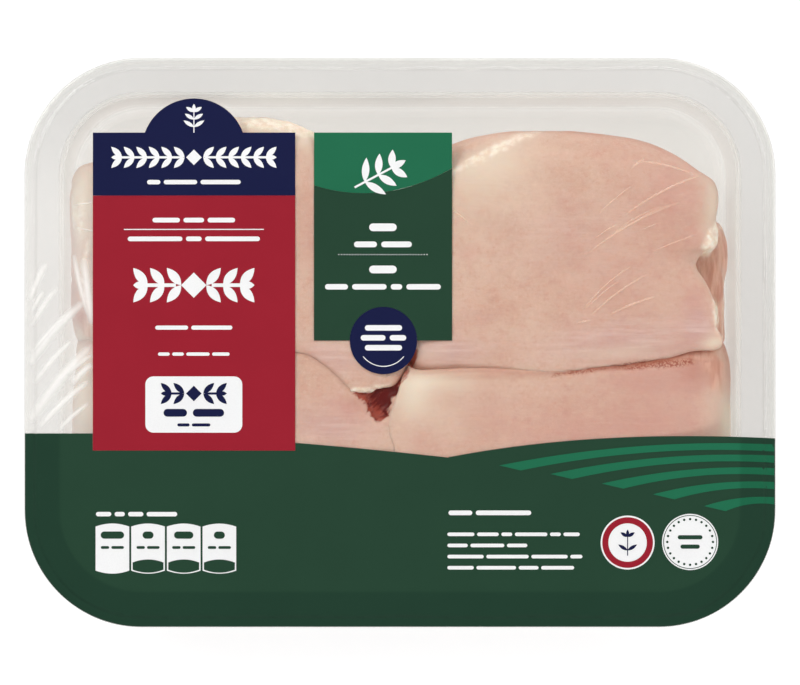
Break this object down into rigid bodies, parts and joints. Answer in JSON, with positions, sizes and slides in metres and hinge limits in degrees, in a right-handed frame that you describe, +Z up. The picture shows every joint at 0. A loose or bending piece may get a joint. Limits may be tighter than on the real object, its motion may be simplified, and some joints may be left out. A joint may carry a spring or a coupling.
{
  "type": "tray pack of raw boneless chicken thighs",
  "caption": "Sealed clear tray of raw boneless, skinless chicken thighs under a film lid printed with plain navy, maroon and green fields",
  "frame": {"origin": "middle of the tray's footprint, on the surface it stands on", "axes": "+X along the tray's long side, +Y to the side away from the printed band, +Z up through the lid"},
  "size_m": [0.273, 0.207, 0.0416],
  "materials": {
    "tray": "clear moulded plastic",
    "film": "clear film, glossy",
    "flesh": "raw skinless poultry, moist",
    "print_navy": "ink printed on the film",
    "print_maroon": "ink printed on the film",
    "print_green": "ink printed on the film",
    "print_leaf": "ink printed on the film",
    "print_white": "ink printed on the film"
  },
  "bodies": {
    "root": {"tray": "tray", "film": "film", "thigh_upper_right": "flesh", "thigh_upper_left": "flesh", "thigh_lower_right": "flesh", "thigh_lower_left": "flesh", "label_panel": "print_maroon", "label_cap": "print_navy", "claim_panel": "print_green", "claim_top": "print_leaf", "badge": "print_navy", "print_band": "print_green", "label_window": "print_white", "band_tab_1": "print_white", "band_tab_2": "print_white", "band_tab_3": "print_white", "band_tab_4": "print_white", "band_seal_1": "print_white", "band_seal_2": "print_white"}
  },
  "joints": []
}
